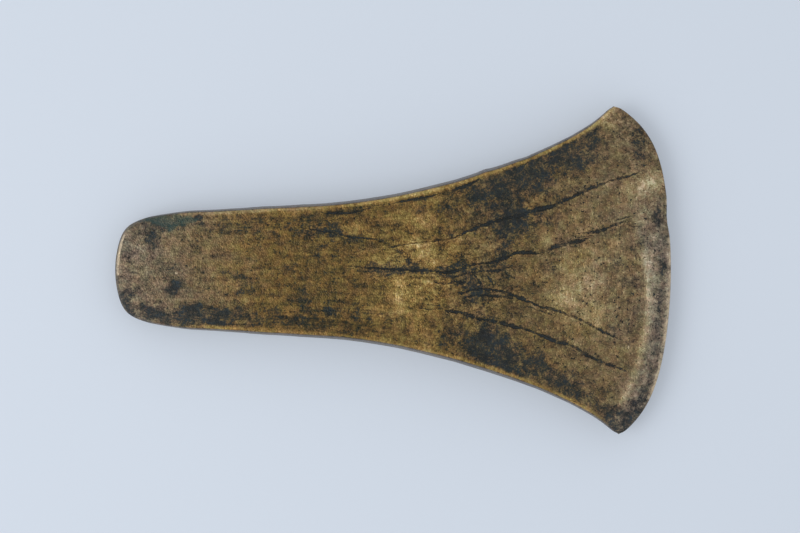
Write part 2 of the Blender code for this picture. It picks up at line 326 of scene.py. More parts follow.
# Where the speckle is coarser, above 0, or finer
GRAIN_PATCHES = [Patch(*row) for row in (
    (76.0, 0.0, 9.0, 10.0, 0.65), (91.0, -1.0, 8.0, 12.0, 0.45), (120.0, -1.0, 11.0, 15.0, 0.12),
    (42.0, 0.0, 24.0, 10.0, -0.22), (5.0, 0.0, 9.0, 14.0, 0.15),
)]
# Pale specks; the one at 138.9 mm along is a painted glint at the nick in the cutting edge
PALE_SPECKS_AND_GLINT = [Patch(*row) for row in (
    (15.6, -0.7, 0.32, 0.36, 0.9), (22.1, 11.4, 0.5, 0.3, 0.7), (34.7, -4.3, 0.5, 0.3, 0.5),
    (138.9, 17.2, 0.4, 0.7, 1.0), (11.6, -14.3, 0.5, 0.4, 0.5), (129.1, -19.3, 0.35, 0.35, 0.9),
)]
# Brightness and warmth along the axe head, in millimetres from the butt end. The brighter stretch
# around 70 to 80 mm, before the ridge, is partly polished metal and partly painted highlight
TONE_ALONG = (
    (0, 0.48), (12, 0.47), (25, 0.42), (45, 0.35), (62, 0.35), (70, 0.40), (78, 0.43),
    (88, 0.36), (104, 0.40), (120, 0.46), (132, 0.44), (140, 0.44),
)
WARM_ALONG = (
    (0, 0.10), (12, 0.30), (25, 0.65), (40, 1.0), (80, 1.0), (92, 0.75), (110, 0.70),
    (128, 0.50), (140, 0.42),
)
# How hard the patches' borders are
PATCH_FIRMNESS = 1.5
BRIGHT_FIRMNESS = 1.0
PATCH_FALL = 0.7
# Noise that pushes the patches' outlines about: how far in millimetres, and its size in metres
PUSHES = ((1.6, 0.0055), (1.0, 0.0022))
BRIGHTENING = 0.42
BLOTCH_SIZE = 0.009
STREAK_SIZE = 0.011
BLOTCH_TONE = 0.030
BLOTCH_WARM = 0.10
# The underside's noise in tone and in dark: swing and size
PLAIN_TONE = (0.06, 0.020)
PLAIN_DARK = (0.35, 0.018)
PLAIN_DARKNESS = 0.25
GRAIN = 0.9
CREST_GRAIN = -0.1
BEVEL_GRAIN = 0.38
DARK_GRAIN = 0.75
# Painted forms beside the sides. The crest line's outer border and the inner border of the walls'
# painted reflection of the floor as shares of the bulge, the crest line's inner border as a share
# of the crest, and how soft they are
CREST_FROM, CREST_FROM_FADE = 0.9, 0.0002
CREST_TO, CREST_TO_FADE = 0.45, 0.0005
WALL_TO, WALL_FADE = 0.80, 0.00025
BEVEL_FADE = 0.0008
CREASE_DARK = 0.32
# Painted shade along the flanges' feet
FOOT_SHADE = 0.45
CREST_DARK = -0.40
LEFT_CREST_TONE = 0.27
RIGHT_CREST_TONE = 0.18
CREST_WARM = 0.30
# Up to this place along, the left crest is cool instead
COOL_CREST_TO = 0.052
COOL_CREST_WARM = -0.25
# The right crest's light line stops here: place along and fade
RIGHT_CREST_STOP = (0.116, 0.010)
# The side walls are painted paler and cooler: a painted reflection of the pale floor
WALL_REFLECTION_TONE = 0.04
WALL_REFLECTION_WARM = -0.8
# The bevel's sheen, partly the ground metal's paler, cooler colour and partly a painted highlight:
# how softly it starts, by what share of that it laps over the bevel's border, and its places
# across with their fade
SHEEN_FADE = 0.0030
SHEEN_OVER = 0.7
SHEEN_ACROSS = (-0.0500, 0.0150, 0.020)
BEVEL_SHEEN_TONE = 0.11
BEVEL_SHEEN_WARM = -0.34
# Streaks follow the sides as if the axe head were this half width all along. They rise behind the
# butt end and fall again up to the ridge
FLOW_HALF = 0.020
STREAKS_RISE = (-0.004, 0.034)
STREAKS_FALL = (0.068, 0.016)
STREAKS_SLIM = 2.6
STREAKS_LEAST = 0.3
# Scratches lie on the blade's broad end: where they rise along, and their places across
SCRATCHES_RISE = (0.100, 0.020)
SCRATCHES_ACROSS = (-0.022, 0.022, 0.016)

# Bands beside the cutting edge or the butt end: distance from it and half width, the places
# across between which the band runs, and how softly it stops there
Band = namedtuple("Band", "off half low high fade")
# Painted highlight on the bead over the bevel's border
LIT_BEAD = Band(0.0, 0.0011, -0.0340, 0.0050, 0.003)
# Painted shade on the bevel, between the bead and the cutting edge
EDGE_SHADE = Band(0.0024, 0.0011, -0.0330, 0.0180, 0.004)
# Painted highlight along the cutting edge, in the bare metal's colour
EDGE_HIGHLIGHT = Band(0.0, 0.0012, -0.0330, 0.0085, 0.002)
# Painted highlight on the butt end's rim
BUTT_HIGHLIGHT = Band(0.0007, 0.0004, -0.0015, 0.0090, 0.002)
# How strong the painted highlights and the painted shade are
LIT_BEAD_TONE = 0.30
EDGE_SHADE_DARK = 0.52
EDGE_HIGHLIGHT_SHARE = 0.7
BUTT_HIGHLIGHT_SHARE = 1.2
# The bead's painted highlight lies this far over the bevel's border, and farther from -10 mm
# across to -25 mm
LIT_BEAD_OFF = 0.0004
LIT_BEAD_DRIFT = 0.0010
LIT_BEAD_DRIFT_RISE = (0.010, 0.015)
# The painted shade band on the bevel is weaker on the right of the middle line
EDGE_SHADE_LESS = 0.16
EDGE_SHADE_RUN = 0.010


# -- The solid's formulas


def by_side(v, name):
    return np.where(np.asarray(v) >= 0, getattr(LEFT, name), getattr(RIGHT, name))


def smooth_step(share):
    share = np.clip(share, 0, 1)
    return share * share * (3 - 2 * share)


def rise(place, start, run):
    """0 up to start, then rising softly to 1."""
    return smooth_step((place - start) / run)


def within(place, low, high, fade):
    """1 between low and high, fading to 0 outside."""
    return smooth_step((place - low) / fade + 0.5) * smooth_step((high - place) / fade + 0.5)


def bell(distance, half):
    """1 at no distance, fading to 0 on both sides."""
    return np.exp(-((distance / half) ** 2))


def soft_min(a, b, softness):
    share = np.clip(0.5 + 0.5 * (b - a) / softness, 0, 1)
    return b + (a - b) * share - softness * share * (1 - share)


def side_half_width(reach, v):
    tip_at = LENGTH - by_side(v, "tip_setback")
    flare_from = by_side(v, "flare_from")
    taper = by_side(v, "taper")
    tip_lip = by_side(v, "tip_lip")
    flare = TIP_HALF - tip_lip - BODY_HALF - taper * (tip_at - BODY_AT)
    flared = np.clip((reach - flare_from) / (tip_at - flare_from), 0, 1)
    near_butt = np.clip((BODY_AT - reach) / (BODY_AT - BUTT_CORNER_AT), 0, 1)
    straight = BODY_HALF + taper * (reach - BODY_AT) - BUTT_CORNER_ROUNDING * near_butt**2
    curved = flare * flared ** by_side(v, "flare_power")
    return straight + curved + tip_lip * flared ** by_side(v, "lip_power")


def butt_reach(v):
    v = abs(v)
    return BUTT_BOW * v**2 + (BUTT_CORNER_AT - BUTT_BOW) * v**BUTT_CORNER_POWER


def edge_reach(v):
    bow = by_side(v, "edge_bow")
    corner = by_side(v, "tip_setback") - bow
    nick = NICK_DEPTH * bell(v * TIP_HALF - NICK_ACROSS, NICK_SPREAD)
    return LENGTH - bow * v**2 - corner * abs(v) ** by_side(v, "edge_power") - nick


def reach_along(u, v):
    behind_tip = LENGTH - edge_reach(v)
    return LENGTH * u + butt_reach(v) * (1 - u) ** END_FADE - behind_tip * u**END_FADE


def plan(u, v):
    u, v = np.broadcast_arrays(np.asarray(u, float), np.asarray(v, float))
    beside = reach_along(u, np.where(v >= 0, 1.0, -1.0))
    return reach_along(u, v), v * side_half_width(beside, v)


def off_piece(x, y, start, run):
    """Offsets from the nearest point of a straight piece, and that point's share along it."""
    share = ((x - start[0]) * run[0] + (y - start[1]) * run[1]) / (run[0] ** 2 + run[1] ** 2)
    share = np.clip(share, 0, 1)
    return x - start[0] - share * run[0], y - start[1] - share * run[1], share


def distance_to_line(x, y, line_x, line_y):
    nearest = np.full(np.shape(x), np.inf)
    points = np.stack([line_x, line_y], axis=-1)
    for start, end in zip(points[:-1], points[1:]):
        off_x, off_y, _ = off_piece(x, y, start, end - start)
        nearest = np.minimum(nearest, np.hypot(off_x, off_y))
    return nearest


def distance_to_side(x, y, v):
    shares = np.linspace(0, 1, OUTLINE_SAMPLES)
    return distance_to_line(x, y, *plan(shares, v))


def distance_to_end(x, y, u):
    shares = np.linspace(-1, 1, OUTLINE_SAMPLES)
    return distance_to_line(x, y, *plan(u, shares))


def blade_half_height(to_edge):
    fallen = 1 - (to_edge - BEVEL_WIDTH) / (LENGTH - RIDGE_AT - BEVEL_WIDTH)
    share = 1 - np.clip(fallen, 0, 1) ** BLADE_ROUNDNESS
    return BEVEL_HALF + (RIDGE_HALF - BEVEL_HALF) * share


def face_half_height(x, to_edge):
    seat = BUTT_HALF + (RIDGE_HALF - BUTT_HALF) * x / RIDGE_AT
    return soft_min(seat, blade_half_height(to_edge), RIDGE_SOFTNESS)


def crest_half_height(x, to_edge):
    risen = rise(x, FLANGE_FROM_BUTT, FLANGE_RISE)
    fall = smooth_step(to_edge / FLANGE_FALL)
    flange = TIP_FLANGE_HEIGHT + (FLANGE_HEIGHT - TIP_FLANGE_HEIGHT) * fall
    return soft_min(face_half_height(x, to_edge) + risen * flange, CREST_HALF, RIDGE_SOFTNESS)


def bevel_width(y):
    return BEVEL_WIDTH + BEVEL_SWELL * bell(y - BEVEL_SWELL_ACROSS, BEVEL_SWELL_SPREAD)


def bevel_half_height(y, to_edge):
    width = bevel_width(y)
    return EDGE_HALF + (blade_half_height(width) - EDGE_HALF) * to_edge / width


def bulge_width(x, y, to_edge):
    crest = np.minimum(crest_half_height(x, to_edge), bevel_half_height(y, to_edge))
    return SIDE_BULGE * crest / CREST_HALF


def rim_share(gap, width, roundness):
    return 1 - (1 - np.clip(gap / width, 0, 1)) ** roundness


def rounded_tips(x, y):
    for v in (1.0, -1.0):
        tip_x, tip_y = plan(1.0, v)
        near = bell(np.hypot(x - tip_x, y - tip_y), TIP_RADIUS)
        y = y - v * (math.sqrt(2) - 1) * TIP_RADIUS * near
    return x, y


# -- Grid


def lines_along():
    """Shares u of the cross rows: close at the butt end and the cutting edge, even between."""
    butt = np.array(BUTT_ROWS) * BUTT_ROUND / LENGTH
    edge = np.array(EDGE_ROWS) * EDGE_ROUND / LENGTH
    middle = np.linspace(butt[-1], 1 - edge[0], SPACES_ALONG + 1)
    return np.concatenate([butt[:-1], middle, 1 - edge[1:]])


def lines_beside(u, v):
    """Shares across of one row's lines beside the side v: up its wall and over its flange."""
    x, y = plan(u, v)
    bulge = bulge_width(x, y, distance_to_end(x, y, 1.0))
    wall = bulge * np.array(WALL_LINES)
    crest = bulge + CREST_WIDTH * np.array(CREST_LINES)
    foot = bulge + CREST_WIDTH + FOOT_WIDTH * np.array(FOOT_LINES)
    offsets = np.concatenate([wall, crest, foot])
    inwards = v * np.linspace(1, 0.5, OUTLINE_SAMPLES)
    return np.interp(offsets, distance_to_side(*plan(u, inwards), v), inwards)


def lines_across(u):
    right = lines_beside(u, -1.0)
    left = lines_beside(u, 1.0)[::-1]
    middle = np.linspace(right[-1], left[0], SPACES_ACROSS + 1)
    return np.concatenate([right[:-1], middle, left[1:]])


# -- Noise and marks


def noise(x, y, size, seed):
    """Smooth noise of about -1 to 1, whose swells are about size across."""
    rows, columns = SLOPE_TABLE
    slopes = np.random.default_rng(seed).uniform(0, 2 * math.pi, SLOPE_TABLE)
    x, y = x / size + NOISE_ORIGIN[0], y / size + NOISE_ORIGIN[1]
    i, j = np.floor(x).astype(int), np.floor(y).astype(int)
    x, y = x - i, y - j
    total = 0
    for a, b in ((0, 0), (0, 1), (1, 0), (1, 1)):
        angle = slopes[(i + a) % rows, (j + b) % columns]
        pull = (x - a) * np.cos(angle) + (y - b) * np.sin(angle)
        total = total + pull * smooth_step(1 - abs(x - a)) * smooth_step(1 - abs(y - b))
    return NOISE_GAIN * total


def layered_noise(x, y, size, seed, layers=3):
    return sum(noise(x, y, size / 2**k, seed + k) / 2**k for k in range(layers))


def blotches(x, y, size, seed):
    return noise(x, y, size, seed) + FINER_BLOTCHES * noise(x, y, size / 2, seed + 1)


def along_line(x, y, points):
    """Distance to a chain of straight pieces, below 0 on its right, and the half width there."""
    points = np.array(points) * MM
    nearest, width_at = np.full(np.shape(x), np.inf), np.zeros(np.shape(x))
    for start, end in zip(points[:-1], points[1:]):
        run_x, run_y, widening = end - start
        off_x, off_y, share = off_piece(x, y, start, (run_x, run_y))
        apart = np.copysign(np.hypot(off_x, off_y), run_x * off_y - run_y * off_x)
        closer = abs(apart) < abs(nearest)
        nearest = np.where(closer, apart, nearest)
        width_at = np.where(closer, start[2] + share * widening, width_at)
    return nearest, width_at


class Creases:
    """A group of creases: where each point lies beside the nearest one."""

    def __init__(self, x, y, group):
        self.apart = np.full(np.shape(x), np.inf)
        width, depth = np.zeros((2, *np.shape(x)))
        for crease in group:
            apart, half_width = along_line(x, y, crease.points)
            closer = abs(apart) < abs(self.apart)
            self.apart = np.where(closer, apart, self.apart)
            width = np.where(closer, half_width, width)
            depth = np.where(closer, crease.depth * MM, depth)
        self.width = width * (1 - rise(abs(self.apart), CREASE_REACH, CREASE_FADE))
        across = bell(self.apart, np.maximum(self.width, CREASE_LEAST_HALF))
        self.hollow = depth * across * smooth_step(self.width / CREASE_FULL_HOLLOW)
        belt = bell(self.apart, CREASE_BELT_HALF)
        self.near = belt * smooth_step(self.width / CREASE_FULL_BELT)


def patch_share(x, y, patch, firmness=PATCH_FIRMNESS):
    turn = math.radians(patch.turn)
    x, y = x - patch.along * MM, y - patch.across * MM
    a = (x * math.cos(turn) + y * math.sin(turn)) / (patch.half_long * MM)
    b = (y * math.cos(turn) - x * math.sin(turn)) / (patch.half_wide * MM)
    return patch.strength * np.exp(-((a * a + b * b) ** firmness) * PATCH_FALL)


def patches(x, y, group, seed, firmness=PATCH_FIRMNESS):
    """The sum of a group of patches, whose outlines are pushed about so that none is round."""
    pushed = []
    for k, place in enumerate((x, y)):
        push = sum(
            reach * noise(x, y, size, seed + 10 * layer + k)
            for layer, (reach, size) in enumerate(PUSHES)
        )
        pushed.append(place + push * MM)
    return sum(patch_share(*pushed, patch, firmness) for patch in group)


def pits(x, y, seed):
    """Small round hollows, 0 to 1 deep."""
    dice = np.random.default_rng(seed)
    deep = np.zeros(np.shape(x))
    for _ in range(PIT_COUNT):
        at_x, at_y = dice.uniform(0, LENGTH), dice.uniform(-TIP_HALF, TIP_HALF)
        radius, depth = dice.uniform(*PIT_RADII) * MM, dice.uniform(*PIT_SHARES)
        reach = PIT_REACH * radius
        near = (abs(x - at_x) < reach) & (abs(y - at_y) < reach)
        apart = np.hypot(x[near] - at_x, y[near] - at_y)
        deep[near] = np.maximum(deep[near], depth * bell(apart, radius))
    return deep


def along_places(x, stops):
    """A value given at places along the axe head in millimetres, read at x."""
    return np.interp(x, *np.transpose(stops) * [[MM], [1]])


def band_share(band, distance, y):
    return bell(distance - band.off, band.half) * within(y, band.low, band.high, band.fade)


# -- Surface


class Face:
    """One broad face: heights over the middle plane and the shares of each kind of patina, painted
    highlight, painted shade and painted reflection.
    """

    def __init__(self, x, y, seed, plain):
        self.x, self.y, self.seed, self.plain = x, y, seed, plain
        self.to_side = np.minimum(distance_to_side(x, y, 1.0), distance_to_side(x, y, -1.0))
        self.to_edge = distance_to_end(x, y, 1.0)
        self.to_butt = distance_to_end(x, y, 0.0)
        self.bulge = bulge_width(x, y, self.to_edge)
        self.flange = rise(x, FLANGE_FROM_BUTT, FLANGE_RISE)
        self.foot = self.foot_groove()
        groups = ((), ()) if plain else (CREASES, SIDE_CREASES)
        self.creases = [Creases(x, y, group) for group in groups]
        rims = self.rims()
        self.height = self.cap() * rims + self.relief() * rims

    def seed_of(self, kind):
        return self.seed + SEEDS[kind]

    def cap(self):
        """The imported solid's own height, before its rims are rounded."""
        inside = rise(self.to_side, self.bulge + CREST_WIDTH, FOOT_WIDTH)
        face = face_half_height(self.x, self.to_edge)
        flanged = face + (crest_half_height(self.x, self.to_edge) - face) * (1 - inside)
        return soft_min(flanged, bevel_half_height(self.y, self.to_edge), RIDGE_SOFTNESS)

    def rims(self):
        """0 at the outline, rising to 1 over the rounding of each side and end."""
        return np.minimum.reduce((
            rim_share(self.to_side, self.bulge, SIDE_ROUNDNESS),
            rim_share(self.to_edge, EDGE_ROUND, 2),
            rim_share(self.to_butt, BUTT_ROUND, 2),
        ))

    def foot_groove(self):
        """1 in the broken groove along the flanges' feet."""
        x, y = self.x, self.y
        swing, size = GROOVE_WANDER
        wander = swing * noise(x, y, size, self.seed_of("groove_line"))
        across = bell(self.to_side - self.bulge - CREST_WIDTH - GROOVE_OFF - wander, GROOVE_HALF)
        swing, size = GROOVE_BREAKS
        breaks = swing * noise(x, y, size, self.seed_of("groove"))
        return across * self.flange * smooth_step(GROOVE_SHARE + breaks)

    def relief(self):
        x, y = self.x, self.y
        relief = sum(
            height * MM * noise(x, y, size * MM, self.seed + k)
            for k, (size, height) in enumerate(SWELLS)
        )
        inwards = smooth_step(self.to_side / SWELLS_FADE)
        relief = relief * (SWELLS_AT_SIDE + (1 - SWELLS_AT_SIDE) * inwards)
        bead = bell(self.to_edge - bevel_width(y), BEAD_HALF)
        relief += BEAD_HEIGHT * bead * rise(-y, *BEAD_RISE)
        for creases in self.creases:
            relief -= creases.hollow
        relief -= GROOVE_DEPTH * self.foot
        relief -= PIT_DEPTH * pits(x, y, self.seed_of("pits"))
        to_rim = np.minimum.reduce((self.to_side, self.to_edge, self.to_butt))
        return relief * smooth_step(to_rim / CALM_RIM)

    def on_bevel(self):
        return smooth_step((bevel_width(self.y) - self.to_edge) / BEVEL_FADE + 0.5)

    def on_crest(self):
        """1 on the flanges' light crest lines."""
        started = rise(self.to_side, self.bulge * CREST_FROM, CREST_FROM_FADE)
        kept = 1 - rise(self.to_side, self.bulge + CREST_WIDTH * CREST_TO, CREST_TO_FADE)
        stopped = (self.y < 0) * rise(self.x, *RIGHT_CREST_STOP)
        return started * kept * self.flange * (1 - stopped)

    # 1 on the side walls, where the painted reflection of the floor goes
    def on_reflecting_wall(self):
        return 1 - rise(self.to_side, self.bulge * WALL_TO, WALL_FADE)

    def butt_side(self):
        return 1 - rise(self.x, *STREAKS_FALL)

    def patchy(self):
        """Blotches on the blade, drawn out to streaks towards the butt end."""
        x, y = self.x, self.y
        patchy = blotches(x, y, BLOTCH_SIZE, self.seed_of("blotches"))
        streaky = blotches(x, y * STREAKS_SLIM, STREAK_SIZE, self.seed_of("streaks"))
        return patchy + (streaky - patchy) * self.butt_side()

    def plain_paint(self):
        """Tone, dark, green, bare metal and painted highlight, and grain of the underside, as
        changes from none.
        """
        x, y, none = self.x, self.y, np.zeros(np.shape(self.x))
        swing, size = PLAIN_TONE
        tone = swing * layered_noise(x, y, size, self.seed_of("plain_tone"))
        swing, size = PLAIN_DARK
        dark = PLAIN_DARKNESS + swing * layered_noise(x, y, size, self.seed_of("plain_dark"))
        return tone, dark, none, none, none

    def placed_paint(self):
        """Tone, dark, green, bare metal and painted highlight, and grain of the tables' patches,
        as changes from none.
        """
        x, y = self.x, self.y
        dark = patches(x, y, DARK_PATCHES, self.seed_of("dark"))
        bright = patches(x, y, BRIGHT_PATCHES, self.seed_of("bright"), BRIGHT_FIRMNESS)
        green = patches(x, y, GREEN_PATCHES, self.seed_of("green"))
        grain = patches(x, y, GRAIN_PATCHES, self.seed_of("grain"))
        bare_and_highlight = sum(patch_share(x, y, patch) for patch in PALE_SPECKS_AND_GLINT)
        for creases in self.creases:
            dark = dark + CREASE_DARK * creases.near
        return BRIGHTENING * bright, dark, green, bare_and_highlight, grain

    def shares(self):
        """The painted shares at each point that the material reads; gaps in millimetres."""
        x, y = self.x, self.y
        patchy, crest, on_reflecting_wall = self.patchy(), self.on_crest(), self.on_reflecting_wall()
        paint = self.plain_paint() if self.plain else self.placed_paint()
        tone, dark, green, bare_and_highlight, grain = paint
        tone = along_places(x, TONE_ALONG) + BLOTCH_TONE * patchy + tone
        warm = along_places(x, WARM_ALONG) + BLOTCH_WARM * patchy
        # Painted shade in the flanges' feet; the worn crests carry less dark patina
        dark = dark + FOOT_SHADE * self.foot + CREST_DARK * crest
        tone = tone + crest * np.where(y > 0, LEFT_CREST_TONE, RIGHT_CREST_TONE)
        cool_crest = (y > 0) & (x < COOL_CREST_TO)
        warm = warm + crest * np.where(cool_crest, COOL_CREST_WARM, CREST_WARM)
        sheen = smooth_step((bevel_width(y) - self.to_edge) / SHEEN_FADE + SHEEN_OVER)
        sheen = sheen * within(y, *SHEEN_ACROSS)
        tone = tone + BEVEL_SHEEN_TONE * sheen + WALL_REFLECTION_TONE * on_reflecting_wall
        warm = warm + BEVEL_SHEEN_WARM * sheen + WALL_REFLECTION_WARM * on_reflecting_wall
        grain = GRAIN + grain + CREST_GRAIN * crest + BEVEL_GRAIN * self.on_bevel()
        grain = grain + DARK_GRAIN * np.clip(dark, 0, 1)
        tone, dark, bare_and_highlight = self.marks_by_the_ends(tone, dark, bare_and_highlight)
        streaky = self.butt_side() * rise(x, *STREAKS_RISE)
        made = {
            "dark": np.clip(dark, 0, 1.2),
            "tone": tone,
            "grain": np.clip(grain, 0.3, 1.8),
            "green": np.clip(green, 0, 1),
            "bare_and_highlight": np.clip(bare_and_highlight, 0, 1),
            # The walls' share of the painted floor reflection
            "wall": on_reflecting_wall,
            "warm": np.clip(warm, 0, 1),
            "flow": y * FLOW_HALF / side_half_width(x, np.sign(y)),
            "streaky": STREAKS_LEAST + (1 - STREAKS_LEAST) * streaky,
            "to_edge": self.to_edge,
            "scratched": self.scratched(),
        }
        for name, creases in zip(("crack", "fine_crack"), self.creases):
            made[name + "_gap"] = np.clip(creases.apart / MM, -4, 4)
            made[name + "_width"] = creases.width / MM
        return made

    def marks_by_the_ends(self, tone, dark, bare_and_highlight):
        """The painted highlight on the bevel's bead, the painted shade on the bevel, and the
        painted highlights on the two rims.
        """
        y = self.y
        drift = LIT_BEAD_DRIFT * rise(-y, *LIT_BEAD_DRIFT_RISE)
        off_bead = self.to_edge - (bevel_width(y) + LIT_BEAD_OFF + drift)
        tone = tone + LIT_BEAD_TONE * band_share(LIT_BEAD, off_bead, y)
        shade = EDGE_SHADE_DARK - EDGE_SHADE_LESS * smooth_step(-y / EDGE_SHADE_RUN)
        dark = dark + shade * band_share(EDGE_SHADE, self.to_edge, y)
        bare_and_highlight = bare_and_highlight + EDGE_HIGHLIGHT_SHARE * band_share(EDGE_HIGHLIGHT, self.to_edge, y)
        bare_and_highlight = bare_and_highlight + BUTT_HIGHLIGHT_SHARE * band_share(BUTT_HIGHLIGHT, self.to_butt, y)
        return tone, dark, bare_and_highlight

    def scratched(self):
        """Where fine scratches follow the cutting edge: all over the blade's broad end."""
        return rise(self.x, *SCRATCHES_RISE) * within(self.y, *SCRATCHES_ACROSS)


def faces_of(index):
    """Four-sided faces over a grid of vertex numbers."""
    corners = [index[:-1, :-1], index[1:, :-1], index[1:, 1:], index[:-1, 1:]]
    quads = np.stack(corners, axis=-1)
    # Two corner faces start at their next point, so that no triangle cuts a corner off the grid
    for corner in ((0, -1), (-1, 0)):
        quads[corner] = np.roll(quads[corner], 1)
    return quads.reshape(-1, 4).tolist()


def sewn_faces(index, rim):
    """The lower half's faces. Those on the rim also take the upper grid's points between."""
    rows, columns = index.shape
    made = []
    for i in range(rows - 1):
        for j in range(columns - 1):
            between_i, between_j = LOWER_STEP * i + 1, LOWER_STEP * j + 1
            ring = (
                (True, index[i, j]), (i == 0, rim[0, between_j]),
                (True, index[i, j + 1]), (j == columns - 2, rim[between_i, -1]),
                (True, index[i + 1, j + 1]), (i == rows - 2, rim[-1, between_j]),
                (True, index[i + 1, j]), (j == 0, rim[between_i, 0]),
            )
            made.append([int(point) for there, point in ring if there])
    return made


def waver(x, y, v_shares):
    """Small unevenness of the two sides, from the hammer."""
    sides = np.sign(v_shares) * abs(v_shares) ** SIDE_WAVER_POWER
    moved = SIDE_WAVER * layered_noise(x, 0 * x, SIDE_WAVER_SIZE, SIDE_WAVER_SEED)
    for at, half_long, height in LEFT_BUMPS:
        moved = moved + (y > 0) * height * bell(x - at, half_long)
    return y + sides * moved


def placed(x, y, v_shares):
    """The grid's points in the frame's own place, and its middle height."""
    low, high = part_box(SOLID)
    x, y = rounded_tips(x, waver(x, y, v_shares))
    return x + low.x, y + (low.y + high.y) / 2, (low.z + high.z) / 2


def axe_mesh():
    v = np.array([lines_across(u) for u in lines_along()])
    rows = [plan(u, line) for u, line in zip(lines_along(), v)]
    x, y = np.array(rows).transpose(1, 0, 2)
    coarser = np.s_[::LOWER_STEP, ::LOWER_STEP]

    upper = Face(x, y, UPPER_SEED, plain=False)
    lower = Face(x[coarser], y[coarser], LOWER_SEED, plain=True)
    upper.height[[0, -1], :] = 0
    upper.height[:, [0, -1]] = 0
    # The axe head rests on its lower crests, so nothing there may reach below them
    lower.height = np.minimum(lower.height, CREST_HALF)

    placed_x, placed_y, middle_z = placed(x, y, v)
    top_points = np.stack([placed_x, placed_y, middle_z + upper.height], axis=-1)
    low_points = np.stack([placed_x[coarser], placed_y[coarser], middle_z - lower.height], axis=-1)

    # The lower half shares the upper half's points on the rim and has its own inside it
    top_index = np.arange(x.size).reshape(x.shape)
    low_index = top_index[coarser].copy()
    free = np.zeros(low_index.shape, bool)
    free[1:-1, 1:-1] = True
    low_index[free] = x.size + np.arange(free.sum())

    points = np.concatenate([top_points.reshape(-1, 3), low_points[free]])
    faces = faces_of(top_index) + sewn_faces(low_index, top_index)
    mesh = bpy.data.meshes.new("axe_head_bronze")
    mesh.from_pydata(points.tolist(), [], faces)
    top_shares, low_shares = upper.shares(), lower.shares()
    for name, values in top_shares.items():
        layer = mesh.attributes.new(name, "FLOAT", "POINT")
        both = np.concatenate([values.ravel(), low_shares[name][free]])
        layer.data.foreach_set("value", both.astype(np.float32))
    mesh.shade_smooth()
    mesh.validate()
    return mesh


# -- Material


def srgb(red, green, blue):
    """A colour of the screen, 0 to 255, as Blender's linear one."""
    return (*[((c / 255 + 0.055) / 1.055) ** 2.4 for c in (red, green, blue)], 1.0)


class Nodes:
    """Short calls for the nodes of one material."""

    def __init__(self, name):
        self.material = bpy.data.materials.new(name)
        self.material.use_nodes = True
        self.tree = self.material.node_tree
        self.shader = self.tree.nodes["Principled BSDF"]
        self.place = self.add("ShaderNodeTexCoord").outputs["Object"]
        split = self.add("ShaderNodeSeparateXYZ")
        self.plug(split.inputs[0], self.place)
        self.along, self.across, self.up = split.outputs

    def add(self, kind):
        return self.tree.nodes.new(kind)

    def plug(self, socket, value):
        if isinstance(value, bpy.types.NodeSocket):
            self.tree.links.new(value, socket)
        else:
            socket.default_value = value

    def share(self, name):
        node = self.add("ShaderNodeAttribute")
        node.attribute_name = name
        return node.outputs["Fac"]

    def math(self, operation, a, b=0.0):
        node = self.add("ShaderNodeMath")
        node.operation = operation
        self.plug(node.inputs[0], a)
        self.plug(node.inputs[1], b)
        return node.outputs[0]

    def times(self, a, b):
        return self.math("MULTIPLY", a, b)

    def plus(self, a, b):
        return self.math("ADD", a, b)

    def total(self, *parts, rest=0.0):
        """The sum of values, each given with its amount, and the rest."""
        for value, amount in parts:
            rest = self.plus(self.times(value, amount), rest)
        return rest

    def ramp(self, value, low, high, out_low=0.0, out_high=1.0):
        node = self.add("ShaderNodeMapRange")
        node.interpolation_type = "SMOOTHSTEP"
        for slot, given in zip(range(5), (value, low, high, out_low, out_high)):
            self.plug(node.inputs[slot], given)
        return node.outputs[0]

    def mix(self, share, a, b, way="MIX"):
        node = self.add("ShaderNodeMix")
        node.data_type = "RGBA"
        node.blend_type = way
        colours = [socket for socket in node.inputs if socket.type == "RGBA"]
        self.plug(node.inputs[0], share)
        self.plug(colours[0], a)
        self.plug(colours[1], b)
        return [socket for socket in node.outputs if socket.type == "RGBA"][0]

    def shifted(self, shift):
        node = self.add("ShaderNodeMapping")
        self.plug(node.inputs["Vector"], self.place)
        node.inputs["Location"].default_value = (shift, shift, shift)
        return node.outputs[0]

    def joined(self, along, across):
        node = self.add("ShaderNodeCombineXYZ")
        self.plug(node.inputs[0], along)
        self.plug(node.inputs[1], across)
        self.plug(node.inputs[2], self.up)
        return node.outputs[0]

    def flow(self, shrunk):
        """Places for streaks that follow the sides."""
        return self.joined(self.times(self.along, shrunk), self.share("flow"))

    def by_edge(self, shrunk):
        """Places for scratches that follow the cutting edge."""
        return self.joined(self.share("to_edge"), self.times(self.across, shrunk))

    def swell(self, kind, place=None):
        """One of the material's noises, as a swing of about -1 to 1."""
        if place is None:
            place = self.shifted(kind.shift) if kind.shift else self.place
        node = self.add("ShaderNodeTexNoise")
        self.plug(node.inputs["Vector"], place)
        node.inputs["Scale"].default_value = 1 / kind.size
        node.inputs["Detail"].default_value = kind.layers
        node.inputs["Roughness"].default_value = kind.roughness
        return self.times(self.plus(node.outputs[0], -0.5), 4.0)

    def levels(self, value, stops):
        node = self.add("ShaderNodeValToRGB")
        self.plug(node.inputs[0], value)
        set_stops(node.color_ramp, stops)
        return node.outputs[0]


def set_stops(ramp, stops):
    while len(ramp.elements) < len(stops):
        ramp.elements.new(0.5)
    for element, (at, colour) in zip(ramp.elements, stops):
        element.position = at
        element.color = colour


